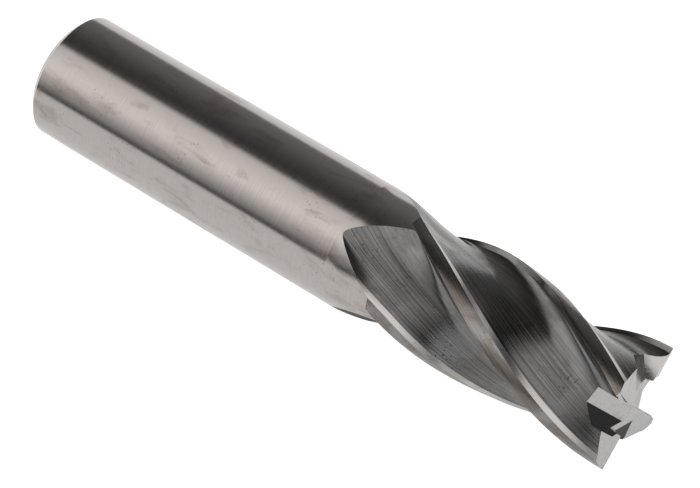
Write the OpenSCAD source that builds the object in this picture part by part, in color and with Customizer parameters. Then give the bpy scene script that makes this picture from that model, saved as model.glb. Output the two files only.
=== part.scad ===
// Solid carbide square end mill: right-hand cut, right-hand helix, four teeth, plain round shank.
// It lies along +X. The origin is the centre of the shank's back face, and the teeth end at +X.

/* [Shank] */
// Diameter of the plain shank that the holder grips
shank_d = 20; // [12:0.05:25]
// Length of the chamfer on the back end, measured along the axis
shank_chamfer = 1.1; // [0.4:0.1:2]

/* [Lengths] */
// Overall length
overall_l = 106; // [85:0.5:150]
// Length of cut, from the end teeth to where the cutting edges begin
cut_l = 40; // [20:0.5:50]
// Extra flute length that the grinding wheel leaves behind the heel of each land
runout_l = 8.8; // [4:0.1:14]

/* [Flutes] */
// Diameter over the cutting edges
cut_d = 20; // [12:0.05:25]
// Diameter of the core that joins the teeth
core_d = 13.6; // [8:0.1:15]
// Helix angle of the cutting edges
helix_a = 29; // [15:1:40]
// Turn of the whole helix about the axis
index_a = 125; // [0:1:180]
// Radius of the arc in which the flute rises to the surface
wheel_r = 30; // [10:1:50]
// Radial rake: how far the tooth face leans back under its edge
rake_a = 8; // [0:1:14]

/* [Lands] */
// Width of the relieved land behind each edge, measured round the tool
land_w = 2.3; // [1:0.1:3]
// How far the land falls behind the cutting circle at its heel
land_drop = 0.4; // [0.1:0.02:0.6]
// Width of the heel chamfer behind the land
heel_w = 0.9; // [0.3:0.1:1.3]
// Slope of the heel chamfer
heel_a = 50; // [30:1:60]
// Slope at which the tooth's back leaves the heel
back_a = 38; // [20:1:50]

/* [End teeth] */
// Relief angle of the end flanks
end_relief_a = 14; // [6:1:20]
// Hollow of the end face towards the centre
dish_a = 1.5; // [0:0.5:3]
// Width of the long teeth's flanks across the centre, where the short teeth's edges end
centre_w = 4.4; // [3:0.1:5]
// Distance from the axis at which the long teeth's gashes start
long_gash_r = 0.7; // [0.5:0.1:1.5]
// Distance from the axis at which the short teeth's gashes start
short_gash_r = 2.4; // [1.8:0.1:3.4]
// Slope of a gash's floor from the end face back into the flute
gash_a = 35; // [25:1:45]
// Width of the strip of a gash's floor that tilts away from its edge
gash_w = 2.6; // [1.5:0.1:3]
// Tilt of that strip
gash_tilt_a = 18; // [10:1:25]
// Slope at which the rest of the floor rises again
gash_back_a = 22; // [15:1:30]
// Full width of a gash, from its edge to its far wall
gash_reach = 5.2; // [4:0.1:6]

/* [Hidden] */
teeth = 4;
pitch_a = 360 / teeth;
cut_r = cut_d / 2;
core_r = core_d / 2;
lead = PI * cut_d / tan(helix_a);
// Where the plain shank ends, a little before the first trace of a flute
neck_spare = 0.6;
neck_x = overall_l - cut_l - runout_l - neck_spare;
flute_l = cut_l + runout_l;
// How far past the length of cut the relief of the land fades out
land_runout_l = 1.2;
// Angles round the tool, measured back from a cutting edge
land_a = land_w / cut_r * 180 / PI;
bottom_share = 0.715;
bottom_a = bottom_share * pitch_a;
heel_rise_a = 15;
heel_runout_a = land_a + heel_rise_a;
// How fast the land falls away, and how the run-out's curve bends round the tool
land_power = 1.5;
runout_power = 1.25;
// Lengths of the handles that shape the tooth's back and face, as shares of their spans
back_start = 0.3;
back_finish = 0.37;
face_start = 0.33;
face_finish = 0.42;
// The teeth's rings and the points of one tooth's outline
ring_step = 1.45;
blank_spare = 1.3;
rings = ceil((overall_l + blank_spare - neck_x) / ring_step);
back_n = 10;
rake_n = 9;
root_n = 8;
// The teeth meet the core a hair outside its surface, so that the flats of their roots clear it
root_spare = 0.002;
root_r = core_r / cos(pitch_a / root_n / 2) / cos(ring_step / lead * 180) + root_spare;
// The least that a tooth stands above its root where its flute is at its deepest
thinnest = 0.01;
// Room that the cutting solids have past the tool, and how far a flank's cut reaches past its edge
over = 30;
ahead = 1.5;
// Height of a gash's walls, and how far up its slope the cut starts
gash_h = 8;
gash_run_in = 4;
shank_colour = [0.62, 0.6, 0.58];
flute_colour = [0.36, 0.37, 0.38];

function polar(r, a) = [r * cos(a), r * sin(a)];
function round_tangent(a) = [-sin(a), cos(a)];
function radius_of(p) = norm(p);
function angle_of(p) = atan2(p[1], p[0]);
function bezier(p, t) =
    pow(1 - t, 3) * p[0] + 3 * pow(1 - t, 2) * t * p[1] + 3 * (1 - t) * t * t * p[2] + t * t * t * p[3];

// One tooth space in section, from a cutting edge back to the next one
land_end = polar(cut_r - land_drop, land_a);
heel_dir = cos(heel_a) * round_tangent(land_a) - sin(heel_a) * polar(1, land_a);
heel_end = land_end + heel_w * heel_dir;
heel_end_a = angle_of(heel_end);
back_dir = cos(back_a) * round_tangent(heel_end_a) - sin(back_a) * polar(1, heel_end_a);
bottom = polar(core_r, bottom_a);
next_edge = polar(cut_r, pitch_a);
rake_dir = sin(rake_a) * round_tangent(pitch_a) - cos(rake_a) * polar(1, pitch_a);
space_w = norm(bottom - heel_end);
back_curve = [heel_end, heel_end + back_start * space_w * back_dir,
    bottom - back_finish * space_w * round_tangent(bottom_a), bottom];
face_h = norm(next_edge - bottom);
rake_curve = [bottom, bottom + face_start * face_h * round_tangent(bottom_a),
    next_edge + face_finish * face_h * rake_dir, next_edge];

// The outline's points as [angle, radius]: land, heel and back, then the face of the next tooth
function as_polar(p) = [angle_of(p), radius_of(p)];
land_pts = [for (t = [0, 0.5, 1]) [t * land_a, cut_r - land_drop * pow(t, land_power)]];
back_pts = [for (i = [0 : back_n]) as_polar(bezier(back_curve, i / back_n))];
rake_pts = [for (i = [0 : rake_n - 1]) as_polar(bezier(rake_curve, i / rake_n)) - [pitch_a, 0]];
root_pts = [for (i = [0 : root_n]) [bottom_a - i * pitch_a / root_n, root_r]];

// Distance from the end face at which the flute surfaces, for each angle round the tooth space
function surfacing_l(a) =
    let (b = a < 0 ? a + pitch_a : a)
    b < land_a ? cut_l + land_runout_l
    : b < heel_runout_a
        ? cut_l + land_runout_l + (runout_l - land_runout_l) * sin(90 * (b - land_a) / heel_rise_a)
    : flute_l - runout_l * pow(min(1, (b - heel_runout_a) / (pitch_a - heel_runout_a)), runout_power);

// Radius of an outline point at x: its full depth, less what the rising wheel leaves
function outline_r(p, x) =
    let (
        depth = cut_r - p[1],
        rise_l = sqrt(2 * wheel_r * max(depth, 0.0001)),
        u = min(1, max(0, (x - overall_l + surfacing_l(p[0])) / rise_l))
    )
    cut_r - depth * (1 - pow(1 - u, 2));

// A point of the row frame from its place along X, radius and angle behind a cutting edge
function on_tool(x, r, a, turn) =
    let (phi = index_a - turn + (x - overall_l) * 360 / lead - a)
    [x, -r * sin(phi), r * cos(phi)];

// The closed outline of one tooth: face, land, heel and back, then home along the core
outer_pts = concat([for (p = rake_pts) p], land_pts, back_pts);
outer_n = len(outer_pts);
loop_n = outer_n + root_n + 1;

function ring(x, turn) = concat(
    [for (p = outer_pts) on_tool(x, max(outline_r(p, x), root_r + thinnest), p[0], turn)],
    [for (p = root_pts) on_tool(x, p[1], p[0], turn)]);

// One tooth before its end is ground, a little over length
module tooth_blank(turn) {
    points = [for (i = [0 : rings])
        each ring(neck_x + (overall_l + blank_spare - neck_x) * i / rings, turn)];
    sides = [for (i = [0 : rings - 1], j = [0 : loop_n - 1])
        let (a = i * loop_n + j, b = i * loop_n + (j + 1) % loop_n)
        each [[a, b, a + loop_n], [b, b + loop_n, a + loop_n]]];
    back_cap = [for (j = [loop_n - 1 : -1 : 0]) j];
    front_cap = [for (j = [0 : loop_n - 1]) rings * loop_n + j];
    polyhedron(points = points, faces = concat(sides, [back_cap, front_cap]), convexity = 8);
}

// Puts what is drawn with +Z along the tool and +X along an end edge at that edge
module at_end_edge(turn) {
    phi = index_a - turn;
    translate([overall_l, 0, 0])
        rotate([phi, 0, 0])
            multmatrix([[0, 0, 1, 0], [0, -1, 0, 0], [1, 0, 0, 0]])
                children();
}

// The half space above one tooth's end flank, over a stretch of its edge and the ground behind it.
// The flank falls away behind the edge, and towards the centre
module flank_cut(turn, from_r, to_r, behind) {
    at_end_edge(turn)
        translate([cut_r, 0, 0])
            rotate([0, -dish_a, 0])
                rotate([end_relief_a, 0, 0])
                    translate([from_r - cut_r, -behind, 0])
                        cube([to_r - from_r, behind + ahead, over]);
}

// What the gash in front of one end edge takes off: an upright face, a floor in two strips that
// slopes back into the flute, and an upright far wall
module gash_cut(turn, start_r) {
    strip_drop = gash_w * tan(gash_tilt_a);
    far_drop = strip_drop - (gash_reach - gash_w) * tan(gash_back_a);
    at_end_edge(turn)
        translate([start_r, 0, 0])
            rotate([0, gash_a, 0])
                translate([-gash_run_in, 0, 0])
                    rotate([90, 0, 90])
                        linear_extrude(height = over)
                            polygon([[0, 0], [gash_w, -strip_drop], [gash_reach, -far_drop],
                                [gash_reach, gash_h], [0, gash_h]]);
}

// Long teeth have even numbers. Their edges meet at the centre, and the short teeth stop outside it
function is_long(number) = number % 2 == 0;
function turn_of(number) = (number - 1) * pitch_a;
function gash_start(number) = is_long(number) ? long_gash_r : short_gash_r;
function next_number(number) = number % teeth + 1;

module shank() {
    r = shank_d / 2;
    color(shank_colour)
        rotate([0, 90, 0])
            rotate_extrude($fn = 96)
                polygon([[0, 0], [r - shank_chamfer, 0], [r, shank_chamfer], [r, neck_x], [0, neck_x]]);
}

module core() {
    color(flute_colour)
        difference() {
            translate([neck_x, 0, 0])
                rotate([0, 90, 0])
                    cylinder(h = overall_l - neck_x, r = core_r, $fn = 96);
            for (number = [2, 4]) {
                flank_cut(turn_of(number), -over, over, centre_w);
                flank_cut(turn_of(number), 0, over, over);
            }
            for (number = [1, 3])
                flank_cut(turn_of(number), centre_w, over, over);
            for (number = [1 : teeth])
                gash_cut(turn_of(number), gash_start(number));
        }
}

// A tooth's end has its own flank and gash, and the gash of the tooth behind runs into its flank
module tooth(number) {
    behind = next_number(number);
    color(flute_colour)
        difference() {
            tooth_blank(turn_of(number));
            flank_cut(turn_of(number), -over, over, over);
            gash_cut(turn_of(number), gash_start(number));
            gash_cut(turn_of(behind), gash_start(behind));
        }
}

module tooth_1() { tooth(1); }
module tooth_2() { tooth(2); }
module tooth_3() { tooth(3); }
module tooth_4() { tooth(4); }

shank();
core();
tooth_1();
tooth_2();
tooth_3();
tooth_4();
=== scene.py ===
# %% [markdown]
# # A solid carbide end mill
# The tool is one rod of very hard metal. One half is a plain round shank for the holder. Four
# twisted teeth are ground into the other half, and flat facets across its end let it plunge.
# A grinder makes every surface, so this lesson builds the shapes from the grinder's own moves.
# Everything is in metres in the CAD frame: X runs along the tool and the teeth end at +X.

# %% Load the frame
import math

import bmesh
import bpy
import numpy as np
from mathutils import Matrix, Vector


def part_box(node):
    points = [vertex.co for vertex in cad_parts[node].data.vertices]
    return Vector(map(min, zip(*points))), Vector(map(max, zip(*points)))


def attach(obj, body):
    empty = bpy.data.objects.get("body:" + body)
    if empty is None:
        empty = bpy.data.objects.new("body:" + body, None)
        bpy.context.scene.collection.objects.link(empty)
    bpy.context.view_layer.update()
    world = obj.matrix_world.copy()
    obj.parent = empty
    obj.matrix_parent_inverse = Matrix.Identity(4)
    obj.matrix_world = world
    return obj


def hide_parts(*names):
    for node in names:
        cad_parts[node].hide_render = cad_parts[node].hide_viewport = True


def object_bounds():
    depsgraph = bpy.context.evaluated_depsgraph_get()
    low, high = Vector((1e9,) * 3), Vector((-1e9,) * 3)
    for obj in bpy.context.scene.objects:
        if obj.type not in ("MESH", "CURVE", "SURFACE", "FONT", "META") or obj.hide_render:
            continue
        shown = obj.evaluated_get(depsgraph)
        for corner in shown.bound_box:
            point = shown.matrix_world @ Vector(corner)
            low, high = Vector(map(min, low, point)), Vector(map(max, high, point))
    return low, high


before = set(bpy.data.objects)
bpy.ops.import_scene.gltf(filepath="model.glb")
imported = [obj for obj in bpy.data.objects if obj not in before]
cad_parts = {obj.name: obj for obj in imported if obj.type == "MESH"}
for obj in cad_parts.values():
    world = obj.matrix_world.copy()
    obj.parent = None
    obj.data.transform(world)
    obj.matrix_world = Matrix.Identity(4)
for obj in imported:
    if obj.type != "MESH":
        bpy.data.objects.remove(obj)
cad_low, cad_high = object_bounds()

MM = 0.001
print("CAD box in mm:", [round(v / MM, 2) for v in (*cad_low, *cad_high)])

# %% [markdown]
# ## Sizes
# The overall length and the diameter come from the CAD box, so that the visual model can't drift
# away from it. The other sizes repeat the grinder's settings in the part's source, in millimetres.

# %% Sizes of the tool
overall_l = cad_high.x / MM
cut_r = (cad_high.z - cad_low.z) / 2 / MM
neck_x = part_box("shank")[1].x / MM
shank_chamfer = 1.1
cut_l = 40.0
runout_l = 8.8
core_r = 6.8
helix_a = math.radians(29)
index_a = math.radians(125)
wheel_r = 30.0
teeth = 4
pitch_a = 2 * math.pi / teeth
lead = 2 * math.pi * cut_r / math.tan(helix_a)
twist = 2 * math.pi / lead
print("overall", round(overall_l, 2), "radius", round(cut_r, 3))
print("neck", round(neck_x, 2), "lead", round(lead, 1))

# %% [markdown]
# ## Camera
# A long lens from a little over half a metre away keeps the rod's sides almost parallel. The camera
# looks down at about fifty degrees and from the cutting end's side, so the end facets show.

# %% Camera
camera_data = bpy.data.cameras.new("camera")
camera_data.sensor_width = 36
camera_data.lens = 180.8
camera_data.clip_start = 0.01
camera = bpy.data.objects.new("camera", camera_data)
bpy.context.collection.objects.link(camera)
camera.location = (0.25853, -0.26411, 0.39799)
camera.rotation_euler = (math.radians(90 - 50.10), 0, math.radians(37.71))
bpy.context.scene.camera = camera
away = (camera.location - (cad_low + cad_high) / 2).length
print("camera is", round(away, 3), "m from the tool's middle")

# %% [markdown]
# ## Floor and light
# Bare metal shows its surroundings more than its own colour, so the surroundings matter most here.
# A white tent stands on the camera's side of the tool and reaches just past overhead. Behind it the
# studio is dark. The tent's shade depends on one angle only: how far round the tool's axis a
# reflection looks, counted from the front horizon. One small bright panel stands at the back, and
# lights the slim chamfers behind the cutting edges. The floor is white paper.

# %% Small helpers that add and join shader nodes
def add(tree, kind, inputs=None, **settings):
    node = tree.nodes.new("ShaderNode" + kind)
    for name, value in settings.items():
        setattr(node, name, value)
    for key, value in (inputs or {}).items():
        if isinstance(value, bpy.types.NodeSocket):
            tree.links.new(value, node.inputs[key])
        else:
            node.inputs[key].default_value = value
    return node


def ramp(tree, value, stops, mode="LINEAR"):
    node = add(tree, "ValToRGB", {0: value})
    node.color_ramp.interpolation = mode
    bar = node.color_ramp.elements
    while len(bar) < len(stops):
        bar.new(0.5)
    for stop, (place, colour) in zip(bar, stops):
        stop.position = place
        stop.color = (*colour, 1) if isinstance(colour, tuple) else (colour, colour, colour, 1)
    return node.outputs["Color"]


def blend(tree, a, b, how, share=1.0):
    settings = {"data_type": "RGBA", "blend_type": how}
    return add(tree, "Mix", {"Factor": share, 6: a, 7: b}, **settings).outputs[2]


# %% Studio surroundings
world = bpy.data.worlds.new("studio")
bpy.context.scene.world = world
world.use_nodes = True
sky = world.node_tree
sky.nodes.clear()
way = add(sky, "SeparateXYZ", {0: add(sky, "TexCoord").outputs["Generated"]})
front = add(sky, "Math", {0: way.outputs["Y"], 1: -1.0}, operation="MULTIPLY")
round_a = add(sky, "Math", {0: way.outputs["Z"], 1: front.outputs[0]}, operation="ARCTAN2")
share = add(sky, "Math", {0: round_a.outputs[0], 1: math.pi}, operation="DIVIDE").outputs[0]
TENT_SHADES = [(0.0, 0.05), (0.03, 0.1), (0.06, 0.4), (0.12, 0.7), (0.25, 1.4), (0.31, 1.4),
    (0.49, 1.05), (0.53, 0.1), (0.6, 0.07), (0.7, 0.12), (0.85, 0.22), (1.0, 0.27)]
PANEL_ROUND = [(0.0, 0.0), (0.72, 0.0), (0.76, 1.0), (0.86, 1.0), (0.9, 0.0)]
PANEL_ALONG = [(0.0, 0.0), (0.06, 0.6), (0.3, 0.6), (0.4, 0.0)]
WARM_TINT = (1.0, 0.965, 0.945, 1)
BACKDROP = (0.86, 0.86, 0.86, 1)
tent = ramp(sky, share, TENT_SHADES)
panel = blend(sky, ramp(sky, share, PANEL_ROUND), ramp(sky, way.outputs["X"], PANEL_ALONG), "MULTIPLY")
lit = blend(sky, tent, panel, "ADD")
seen = add(sky, "Background", {0: BACKDROP, 1: 1.0})
mirrored = add(sky, "Background", {0: blend(sky, lit, WARM_TINT, "MULTIPLY"), 1: 1.0})
is_seen = add(sky, "LightPath").outputs["Is Camera Ray"]
both = add(sky, "MixShader", {0: is_seen, 1: mirrored.outputs[0], 2: seen.outputs[0]})
add(sky, "OutputWorld", {0: both.outputs[0]})
print("surroundings:", len(TENT_SHADES), "shades from the front horizon over to the back")

# %% Floor and the light that whitens it
floor_mesh = bpy.data.meshes.new("floor")
half = 3
floor_corners = [(-half, -half, 0), (half, -half, 0), (half, half, 0), (-half, half, 0)]
floor_mesh.from_pydata(floor_corners, [], [(0, 1, 2, 3)])
floor = bpy.data.objects.new("floor", floor_mesh)
hair_gap = 0.02 * MM
floor.location.z = cad_low.z - hair_gap
bpy.context.collection.objects.link(floor)
paper = bpy.data.materials.new("white_paper")
paper.use_nodes = True
paper_look = paper.node_tree.nodes["Principled BSDF"].inputs
paper_look["Base Color"].default_value = (0.5, 0.5, 0.5, 1)
paper_look["Roughness"].default_value = 0.9
paper_look["Specular IOR Level"].default_value = 0.1
paper_look["Emission Color"].default_value = (1.0, 1.0, 1.0, 1)
paper_seen = add(paper.node_tree, "LightPath").outputs["Is Camera Ray"]
reflected_glow = 0.5
extra_for_camera = 0.35
glow_in = {0: paper_seen, 1: extra_for_camera, 2: reflected_glow}
paper_glow = add(paper.node_tree, "Math", glow_in, operation="MULTIPLY_ADD")
paper.node_tree.links.new(paper_glow.outputs[0], paper_look["Emission Strength"])
floor_mesh.materials.append(paper)


def soft_light(name, place, size, watts):
    data = bpy.data.lights.new(name, "AREA")
    data.shape = "SQUARE"
    data.size = size
    data.energy = watts
    lamp = bpy.data.objects.new(name, data)
    lamp.location = place
    aim = Vector((0.05, 0, 0)) - lamp.location
    lamp.rotation_euler = aim.to_track_quat("-Z", "Y").to_euler()
    lamp.visible_glossy = False
    bpy.context.collection.objects.link(lamp)
    return lamp


overhead = soft_light("overhead_light", (0.05, 0.0, 2.2), 3.0, 34)
bpy.context.scene.view_settings.view_transform = "Standard"
print("floor at", round(floor.location.z / MM, 3), "mm")

# %% [markdown]
# ## The tooth space in section
# Cut across the flutes, a tooth space has five stretches, counted back from a cutting edge: the
# relieved land, the steep heel chamfer, the tooth's back, the flute's bottom and the hollow face of
# the next tooth. Two Bezier curves draw the back and the face. A rotary grinder leaves just such
# smooth hollows, and a few handles are easier to tune than a long list of points.

# %% Outline of one tooth space
land_w = 2.3
land_a = land_w / cut_r
land_drop = 0.4
land_power = 1.5
heel_w = 0.9
heel_slope = math.radians(50)
back_slope = math.radians(38)
rake_a = math.radians(8)
bottom_share = 0.715
bottom_a = bottom_share * pitch_a
back_start, back_finish = 0.3, 0.37
face_start, face_finish = 0.33, 0.42


def polar(r, a):
    return np.array([r * math.cos(a), r * math.sin(a)])


def tangent(a):
    return np.array([-math.sin(a), math.cos(a)])


def sloping(slope, a):
    return math.cos(slope) * tangent(a) - math.sin(slope) * polar(1, a)


def bezier(points, count):
    t = np.linspace(0, 1, count + 1)[:, None]
    p0, p1, p2, p3 = points
    return (1 - t) ** 3 * p0 + 3 * (1 - t) ** 2 * t * p1 + 3 * (1 - t) * t * t * p2 + t ** 3 * p3


def as_polar(points):
    return np.stack([np.arctan2(points[:, 1], points[:, 0]), np.hypot(points[:, 0], points[:, 1])], 1)


land_end = polar(cut_r - land_drop, land_a)
heel_end = land_end + heel_w * sloping(heel_slope, land_a)
heel_end_a = math.atan2(heel_end[1], heel_end[0])
back_way = sloping(back_slope, heel_end_a)
bottom = polar(core_r, bottom_a)
next_edge = polar(cut_r, pitch_a)
rake_way = math.sin(rake_a) * tangent(pitch_a) - math.cos(rake_a) * polar(1, pitch_a)
space_w = np.linalg.norm(bottom - heel_end)
face_h = np.linalg.norm(next_edge - bottom)
t = np.linspace(0, 1, 13)
land = np.stack([t * land_a, cut_r - land_drop * t ** land_power], 1)
heel = as_polar(land_end + np.linspace(0, 1, 6)[1:, None] * (heel_end - land_end))
curve_n = 44
back = as_polar(bezier([heel_end, heel_end + back_start * space_w * back_way,
    bottom - back_finish * space_w * tangent(bottom_a), bottom], curve_n))[1:]
face = as_polar(bezier([bottom, bottom + face_start * face_h * tangent(bottom_a),
    next_edge + face_finish * face_h * rake_way, next_edge], curve_n))[1:-1]
space = np.concatenate([land, heel, back, face])
LAND, HEEL, BACK, FACE, SHANK, END, GASH = range(7)
finish_of = np.repeat([LAND, HEEL, BACK, FACE], [len(land) - 1, len(heel), len(back), len(face) + 1])
print("points in one tooth space:", len(space), "deepest at radius", round(float(space[:, 1].min()), 2))

# %% [markdown]
# ## Where the flutes run out
# The wheel lifts out of the rod in an arc, so a flute gets shallow and ends in a pointed curve on
# the shank. Each column of the mesh starts exactly on that curve. The crease where the flute meets
# the round shank then lies along mesh edges and stays crisp.

# %% Run-out of a flute and the rings of the mesh
land_runout_l = 1.2
heel_rise_a = math.radians(15)
runout_power = 1.25


def surfacing_l(a):
    rise = (runout_l - land_runout_l) * np.sin(np.clip((a - land_a) / heel_rise_a, 0, 1) * math.pi / 2)
    near = cut_l + land_runout_l + rise
    start = land_a + heel_rise_a
    far = cut_l + runout_l * (1 - np.clip((a - start) / (pitch_a - start), 0, 1) ** runout_power)
    return np.where(a < start, near, far)


def flute_point(x, a, r, turn):
    phi = index_a - turn + (x - overall_l) * twist - a
    return np.stack([x, -r * np.sin(phi), r * np.cos(phi)], -1) * MM


end_spare = 1.3
rows = 230
row_power = 1.15
shallowest = 1e-4
start_x = overall_l - surfacing_l(space[:, 0])
start_x[0] = overall_l - cut_l
rows_t = np.linspace(0, 1, rows + 1)[:, None] ** row_power
fluted_x = start_x + (overall_l + end_spare - start_x) * rows_t
depth = cut_r - space[:, 1]
rise_l = np.sqrt(2 * wheel_r * np.maximum(depth, shallowest))
u = np.clip((fluted_x - start_x) / rise_l, 0, 1)
fluted_r = cut_r - depth * (1 - (1 - u) ** 2)
plain_rows = 4
plain_x = neck_x + (start_x - neck_x) * (np.arange(plain_rows) / plain_rows)[:, None]
grid_x = np.concatenate([plain_x, fluted_x])
grid_r = np.concatenate([np.full_like(plain_x, cut_r), fluted_r])
print("grid:", grid_x.shape[0], "rings of", grid_x.shape[1] * teeth, "points")

# %% Fluted end before its end face is ground
columns = grid_x.shape[1]
tooth_grids = [flute_point(grid_x, space[:, 0], grid_r, -number * pitch_a) for number in range(teeth)]
grid = np.concatenate(tooth_grids, 1)
ring_n = grid.shape[1]
points = grid.reshape(-1, 3)
quads, finishes = [], []
for i in range(grid.shape[0] - 1):
    for j in range(ring_n):
        k = (j + 1) % ring_n
        quads.append((i * ring_n + j, (i + 1) * ring_n + j, (i + 1) * ring_n + k, i * ring_n + k))
        finishes.append(SHANK if i < plain_rows else finish_of[j % columns])
quads.append(tuple(range(ring_n)))
quads.append(tuple((grid.shape[0] - 1) * ring_n + j for j in reversed(range(ring_n))))
finishes += [SHANK, SHANK]
print("faces:", len(quads))

# %% Placeholder materials that the finishes fill in later
def face_outward(mesh):
    shell = bmesh.new()
    shell.from_mesh(mesh)
    bmesh.ops.recalc_face_normals(shell, faces=shell.faces)
    shell.to_mesh(mesh)
    volume = shell.calc_volume(signed=True)
    shell.free()
    return volume / MM ** 3


finish_names = ["ground_land", "ground_heel", "ground_back", "ground_face", "ground_shank",
    "ground_end", "gash_bottom"]
finish_materials = [bpy.data.materials.new(name) for name in finish_names]
blank_mesh = bpy.data.meshes.new("fluted_end")
blank_mesh.from_pydata(points.tolist(), [], quads)
for material in finish_materials:
    blank_mesh.materials.append(material)
blank_mesh.polygons.foreach_set("material_index", finishes)
blank_mesh.update()
fluted = bpy.data.objects.new("fluted_end", blank_mesh)
bpy.context.collection.objects.link(fluted)
print("blank volume, cubic mm:", round(face_outward(blank_mesh), 1))

# %% [markdown]
# ## Grinding the end
# Each end tooth has a flat flank that falls away behind its edge. In front of each edge a gash is
# ground: an upright face, a sloping floor in two strips and a far wall. They are flat cuts, so each
# is a simple block taken away with a Boolean, and the facets meet in true sharp corners. The second
# strip of the floor is the same metal painted almost black, as painted shade deep in the gash.

# %% Cutting blocks in the frame of an end edge
end_relief_a = math.radians(14)
dish_a = math.radians(1.5)
centre_w = 4.4
long_gash_r = 0.7
short_gash_r = 2.4
gash_a = math.radians(35)
gash_w = 2.6
gash_tilt_a = math.radians(18)
gash_back_a = math.radians(22)
gash_reach = 5.2
gash_run_in = 4.0
gash_h = 8.0
over = 30.0
ahead = 1.5
to_edge = Matrix(((0, 0, 1, 0), (0, -1, 0, 0), (1, 0, 0, 0), (0, 0, 0, 1)))


def at_end_edge(turn):
    return Matrix.Translation((overall_l, 0, 0)) @ Matrix.Rotation(index_a - turn, 4, "X") @ to_edge


def prism(name, polygon, low, high, place, dark_side=None):
    ring = len(polygon)
    corners = [place @ Vector((low, y, z)) * MM for y, z in polygon]
    corners += [place @ Vector((high, y, z)) * MM for y, z in polygon]
    sides = [(i, (i + 1) % ring, ring + (i + 1) % ring, ring + i) for i in range(ring)]
    mesh = bpy.data.meshes.new(name)
    mesh.from_pydata(corners, [], sides + [tuple(reversed(range(ring))), tuple(range(ring, 2 * ring))])
    for material in finish_materials:
        mesh.materials.append(material)
    mesh.polygons.foreach_set("material_index", [GASH if i == dark_side else END for i in range(ring + 2)])
    face_outward(mesh)
    block = bpy.data.objects.new(name, mesh)
    bpy.context.collection.objects.link(block)
    return block


def flank_block(turn, low, high, behind):
    hollow = Matrix.Translation((cut_r, 0, 0)) @ Matrix.Rotation(-dish_a, 4, "Y")
    tilt = hollow @ Matrix.Rotation(end_relief_a, 4, "X")
    square = [(-behind, 0), (ahead, 0), (ahead, over), (-behind, over)]
    return prism("flank_block", square, low - cut_r, high - cut_r, at_end_edge(turn) @ tilt)


def gash_block(turn, start_r):
    strip_drop = gash_w * math.tan(gash_tilt_a)
    far_drop = strip_drop - (gash_reach - gash_w) * math.tan(gash_back_a)
    outline = [(0, 0), (gash_w, -strip_drop), (gash_reach, -far_drop), (gash_reach, gash_h), (0, gash_h)]
    slope = Matrix.Translation((start_r, 0, 0)) @ Matrix.Rotation(gash_a, 4, "Y")
    # Side 1, the floor's second strip, gets the gash_bottom finish: painted shade.
    return prism("gash_block", outline, -gash_run_in, over, at_end_edge(turn) @ slope, dark_side=1)


blocks = []
for number in (1, 2, 3, 4):
    turn = (number - 1) * pitch_a
    is_long = number % 2 == 0
    if is_long:
        blocks += [flank_block(turn, -over, over, centre_w), flank_block(turn, 0, over, over)]
    else:
        blocks += [flank_block(turn, centre_w, over, over)]
    blocks += [gash_block(turn, long_gash_r if is_long else short_gash_r)]
print("cutting blocks:", len(blocks))

# %% Grind the end face
for block in blocks:
    cut = fluted.modifiers.new("grind", "BOOLEAN")
    cut.operation = "DIFFERENCE"
    cut.solver = "MANIFOLD"
    cut.material_mode = "TRANSFER"
    cut.object = block
    ground = bpy.data.meshes.new_from_object(fluted.evaluated_get(bpy.context.evaluated_depsgraph_get()))
    fluted.modifiers.clear()
    fluted.data = ground
    bpy.data.objects.remove(block)
    print("left after a cut:", len(ground.polygons))
ground.shade_smooth()
facet_crease = math.radians(9)
ground.set_sharp_from_angle(angle=facet_crease)
longest = max(v.co.x for v in ground.vertices) / MM
print("after grinding:", len(ground.polygons), "faces, longest x", round(longest, 3))

# %% [markdown]
# ## Shank
# The shank is a lathe shape: a straight cylinder with a small chamfer at its back end. The corner
# between the chamfer and the cylinder is rounded a little, because a real ground edge never is
# perfectly sharp and the rounding catches a fine line of light.

# %% Shank as a turned profile
corner_r = 0.12
corner_n = 6
around = 360
straight_n = 60
far_share, near_share = 0.7, 0.3
flat_r = cut_r - shank_chamfer
profile = [(0.0, 0.0), (0.0, 4.0), (0.0, 8.0), (0.0, flat_r - corner_r)]
for step in range(1, corner_n + 1):
    f = step / corner_n
    profile.append((corner_r * f * f * far_share, flat_r - corner_r * (1 - f)))
for step in range(corner_n + 1):
    f = step / corner_n
    x = shank_chamfer - corner_r * far_share * (1 - f) + corner_r * near_share * f
    profile.append((x, cut_r - corner_r * far_share * (1 - f) ** 2))
profile += [(x, cut_r) for x in np.linspace(shank_chamfer + 0.6, neck_x, straight_n)]
shank_points, shank_faces = [(0, 0, 0)], []
for x, r in profile[1:]:
    for j in range(around):
        a = 2 * math.pi * j / around
        shank_points.append((x * MM, -r * math.sin(a) * MM, r * math.cos(a) * MM))
rings = len(profile) - 1
for j in range(around):
    k = (j + 1) % around
    shank_faces.append((0, 1 + j, 1 + k))
    for i in range(rings - 1):
        here, there = 1 + i * around, 1 + (i + 1) * around
        shank_faces.append((here + j, there + j, there + k, here + k))
last_ring = 1 + (rings - 1) * around
shank_faces.append(tuple(last_ring + j for j in reversed(range(around))))
shank_mesh = bpy.data.meshes.new("round_shank")
shank_mesh.from_pydata(shank_points, [], shank_faces)
shank_mesh.materials.append(finish_materials[SHANK])
face_outward(shank_mesh)
shank_mesh.shade_smooth()
chamfer_crease = math.radians(30)
shank_mesh.set_sharp_from_angle(angle=chamfer_crease)
shank = bpy.data.objects.new("round_shank", shank_mesh)
bpy.context.collection.objects.link(shank)
print("shank faces:", len(shank_mesh.polygons))

# %% [markdown]
# ## Effects that the finishes share
# Three effects turn up in several finishes, so each is a node group that is built once: fine lines
# left by the grinding wheel, soft stains from handling, and tiny dark pits in the carbide. The
# pattern is laid out in millimetres. For the flutes it is untwisted by the helix first, and the
# lines depend on the angle round the tool, so they follow the flutes all the way along.

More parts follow.
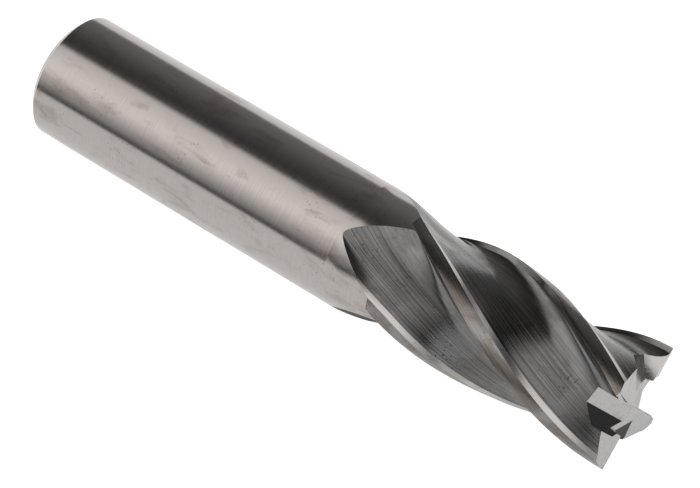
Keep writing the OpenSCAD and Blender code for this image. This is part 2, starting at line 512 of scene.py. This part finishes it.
# %% Node group: grinding lines
def new_group(name, inputs, outputs):
    tree = bpy.data.node_groups.new(name, "ShaderNodeTree")
    for label, kind, value in inputs:
        socket = tree.interface.new_socket(label, in_out="INPUT", socket_type="NodeSocket" + kind)
        socket.default_value = value
    for label, kind in outputs:
        tree.interface.new_socket(label, in_out="OUTPUT", socket_type="NodeSocket" + kind)
    return tree, tree.nodes.new("NodeGroupInput").outputs, tree.nodes.new("NodeGroupOutput").inputs


def in_mm(tree):
    where = add(tree, "TexCoord").outputs["Object"]
    return add(tree, "VectorMath", {0: where, "Scale": 1 / MM}, operation="SCALE").outputs[0]


lines, given, result = new_group("grinding_lines",
    [("Twist", "Float", 0.0), ("Along", "Float", 0.1), ("Round", "Float", 4.5), ("Inward", "Float", 0.0)],
    [("Lines", "Float")])
place = in_mm(lines)
along = add(lines, "SeparateXYZ", {0: place}).outputs["X"]
angle = add(lines, "Math", {0: along, 1: given["Twist"]}, operation="MULTIPLY").outputs[0]
straight = add(lines, "VectorRotate", {"Vector": place, "Angle": angle}, rotation_type="X_AXIS").outputs[0]
apart = add(lines, "SeparateXYZ", {0: straight})
turned = add(lines, "Math", {0: apart.outputs["Z"], 1: apart.outputs["Y"]}, operation="ARCTAN2").outputs[0]
flat = add(lines, "CombineXYZ", {"Y": apart.outputs["Y"], "Z": apart.outputs["Z"]}).outputs[0]
inward = add(lines, "VectorMath", {0: flat}, operation="LENGTH").outputs["Value"]
laid_out = add(lines, "CombineXYZ", {
    "X": add(lines, "Math", {0: along, 1: given["Along"]}, operation="MULTIPLY").outputs[0],
    "Y": add(lines, "Math", {0: turned, 1: given["Round"]}, operation="MULTIPLY").outputs[0],
    "Z": add(lines, "Math", {0: inward, 1: given["Inward"]}, operation="MULTIPLY").outputs[0]}).outputs[0]
noise = add(lines, "TexNoise", {"Vector": laid_out, "Scale": 1.0, "Detail": 4.0, "Roughness": 0.62})
lines.links.new(noise.outputs["Fac"], result["Lines"])
print("group", lines.name)

# %% Node group: stains
stains, given, result = new_group("stains",
    [("Stretch", "Vector", (1, 1, 1)), ("From", "Float", 0.5), ("To", "Float", 0.7)], [("Stain", "Float")])
place = in_mm(stains)
stretched = add(stains, "VectorMath", {0: place, 1: given["Stretch"]}, operation="MULTIPLY").outputs[0]
cloudy = {"Vector": stretched, "Scale": 1.0, "Detail": 5.0, "Roughness": 0.6, "Distortion": 0.6}
noise = add(stains, "TexNoise", cloudy)
limits = {"Value": noise.outputs["Fac"], "From Min": given["From"], "From Max": given["To"]}
edge = add(stains, "MapRange", limits, interpolation_type="SMOOTHSTEP")
stains.links.new(edge.outputs[0], result["Stain"])
print("group", stains.name)

# %% Node group: pits
pits, given, result = new_group("pits",
    [("Per mm", "Float", 1.6), ("Size", "Float", 0.16), ("Cluster", "Float", 0.55)], [("Pit", "Float")])
place = in_mm(pits)
cells = add(pits, "TexVoronoi", {"Vector": place, "Scale": given["Per mm"], "Randomness": 1.0})
reach = {"Value": cells.outputs["Distance"], "From Min": given["Size"], "From Max": 0.02}
spot = add(pits, "MapRange", reach)
cluster = add(pits, "TexNoise", {"Vector": place, "Scale": 0.16, "Detail": 3.0})
crowd = {"Value": cluster.outputs["Fac"], "From Min": given["Cluster"], "From Max": 0.6}
where = add(pits, "MapRange", crowd)
chance = add(pits, "SeparateColor", {0: cells.outputs["Color"]}).outputs[0]
left_out = 0.55
kept = add(pits, "Math", {0: chance, 1: left_out}, operation="GREATER_THAN").outputs[0]
both_masks = add(pits, "Math", {0: spot.outputs[0], 1: where.outputs[0]}, operation="MULTIPLY").outputs[0]
pit = add(pits, "Math", {0: both_masks, 1: kept}, operation="MULTIPLY", use_clamp=True).outputs[0]
pits.links.new(pit, result["Pit"])
print("group", pits.name)

# %% [markdown]
# ## Finishes
# All seven finishes are the same bare metal, so they share one recipe with different numbers: a
# colour, a stained colour, a roughness range, and how strongly the lines and pits show. The flutes,
# the lands and the gash's second strip get a darker colour than the shank, and that darkening is
# painted shade. A line changes colour, roughness and bump together. It hardly darkens the shank,
# and it darkens the tooth's back most, so that the wheel's marks stand out there.

# %% Recipe for ground metal
def use(tree, group, inputs):
    node = tree.nodes.new("ShaderNodeGroup")
    node.node_tree = group
    for key, value in inputs.items():
        node.inputs[key].default_value = value
    return node.outputs[0]


PIT_COLOUR = (0.02, 0.018, 0.016, 1)
LINE_LOW, LINE_HIGH = 0.3, 0.7
STAIN_DULLS = 0.12
PIT_DEPTH = -2.0
LINE_DEPTH = 0.02 * MM


def ground_metal(material, colour, stained, rough, lines_in, bump, stain_in, pit_in, line_shade):
    material.use_nodes = True
    tree = material.node_tree
    tree.nodes.clear()
    metal = add(tree, "BsdfPrincipled", {"Metallic": 1.0})
    line = use(tree, lines, lines_in)
    stain = use(tree, stains, stain_in)
    pit = use(tree, pits, pit_in)
    shade = ramp(tree, line, [(0.38, 1 - line_shade), (0.62, 1.0)])
    base = blend(tree, (*colour, 1), (*stained, 1), "MIX", stain)
    lined = blend(tree, base, shade, "MULTIPLY")
    pitted = blend(tree, lined, PIT_COLOUR, "MIX", pit)
    smooth, coarse = rough
    spread = {"Value": line, "From Min": LINE_LOW, "From Max": LINE_HIGH, "To Min": smooth, "To Max": coarse}
    grain = add(tree, "MapRange", spread).outputs[0]
    dull = add(tree, "Math", {0: stain, 1: STAIN_DULLS, 2: grain}, operation="MULTIPLY_ADD").outputs[0]
    height = add(tree, "Math", {0: pit, 1: PIT_DEPTH, 2: line}, operation="MULTIPLY_ADD").outputs[0]
    relief = add(tree, "Bump", {"Height": height, "Strength": bump, "Distance": LINE_DEPTH})
    tree.links.new(pitted, metal.inputs["Base Color"])
    tree.links.new(dull, metal.inputs["Roughness"])
    tree.links.new(relief.outputs[0], metal.inputs["Normal"])
    add(tree, "OutputMaterial", {0: metal.outputs[0]})


# %% The seven finishes
along_helix = {"Twist": -twist, "Along": 0.05, "Round": 42.0, "Inward": 0.0}
faint_lines = {"Twist": -twist, "Along": 0.05, "Round": 30.0, "Inward": 2.0}
round_shank = {"Twist": 0.0, "Along": 14.0, "Round": 1.5, "Inward": 0.0}
across_end = {"Twist": 0.0, "Along": 3.0, "Round": 10.0, "Inward": 4.0}
few_pits = {"Per mm": 1.7, "Size": 0.2, "Cluster": 0.53}
many_pits = {"Per mm": 1.8, "Size": 0.34, "Cluster": 0.48}
smears = {"Stretch": (0.12, 0.3, 0.3), "From": 0.5, "To": 0.75}
patches = {"Stretch": (0.1, 0.16, 0.16), "From": 0.42, "To": 0.6}
SHANK_LOOK = ((0.43, 0.405, 0.39), (0.3, 0.26, 0.235), (0.1, 0.2))
# Lands: a darker colour than the shank's, which is painted shade; the stained patches and pits are real
# marks.
LAND_PAINTED_SHADE_LOOK = ((0.27, 0.26, 0.25), (0.19, 0.17, 0.155), (0.14, 0.26))
HEEL_LOOK = ((0.48, 0.47, 0.46), (0.38, 0.37, 0.35), (0.2, 0.34))
# Flutes: the shank's metal with a much darker colour, which is painted shade in the hollows.
FLUTE_PAINTED_SHADE_LOOK = ((0.2, 0.2, 0.202), (0.16, 0.158, 0.155))
END_LOOK = ((0.45, 0.445, 0.44), (0.37, 0.36, 0.35), (0.2, 0.34))
# Gash's second strip: the same metal painted almost black, as painted shade in the recess.
GASH_PAINTED_SHADE_LOOK = ((0.07, 0.072, 0.075), (0.055, 0.055, 0.055), (0.26, 0.4))
ground_metal(finish_materials[SHANK], *SHANK_LOOK, round_shank, 0.2, smears, few_pits, 0.12)
ground_metal(finish_materials[LAND], *LAND_PAINTED_SHADE_LOOK, along_helix, 0.3, patches, many_pits, 0.25)
ground_metal(finish_materials[HEEL], *HEEL_LOOK, along_helix, 0.3, smears, few_pits, 0.15)
ground_metal(finish_materials[BACK], *FLUTE_PAINTED_SHADE_LOOK, (0.1, 0.26), along_helix, 1.0, patches, many_pits, 0.65)
ground_metal(finish_materials[FACE], *FLUTE_PAINTED_SHADE_LOOK, (0.1, 0.2), faint_lines, 0.2, patches, few_pits, 0.25)
ground_metal(finish_materials[END], *END_LOOK, across_end, 0.2, smears, few_pits, 0.1)
ground_metal(finish_materials[GASH], *GASH_PAINTED_SHADE_LOOK, across_end, 0.2, smears, few_pits, 0.1)
print("finishes:", ", ".join(m.name for m in finish_materials))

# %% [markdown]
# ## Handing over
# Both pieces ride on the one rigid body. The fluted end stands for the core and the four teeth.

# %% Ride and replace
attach(shank, "root")
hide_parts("shank")
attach(fluted, "root")
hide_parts("core", "tooth_1", "tooth_2", "tooth_3", "tooth_4")
